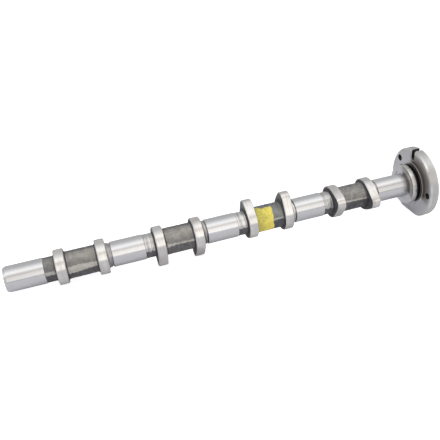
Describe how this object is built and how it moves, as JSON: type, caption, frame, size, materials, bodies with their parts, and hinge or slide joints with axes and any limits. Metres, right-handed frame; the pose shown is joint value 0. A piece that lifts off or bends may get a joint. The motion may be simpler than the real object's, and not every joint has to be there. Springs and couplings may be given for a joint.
{
  "type": "camshaft",
  "caption": "Cast camshaft with ground journals and cams, a thrust collar and groove, and a slotted drive flange with threaded holes.",
  "frame": {"origin": "on the shaft's axis, in the plane of the thrust face at the end of the last journal", "axes": "+X along the shaft towards the flange's outer face, +Z through the timing slot, +Y completes a right-handed frame"},
  "size_m": [0.4664, 0.081, 0.0771],
  "materials": {
    "camshaft": "ground bright on journals, cams, collar and flange, as cast between the cams of a pair"
  },
  "bodies": {
    "root": {"camshaft": "camshaft"}
  },
  "joints": []
}
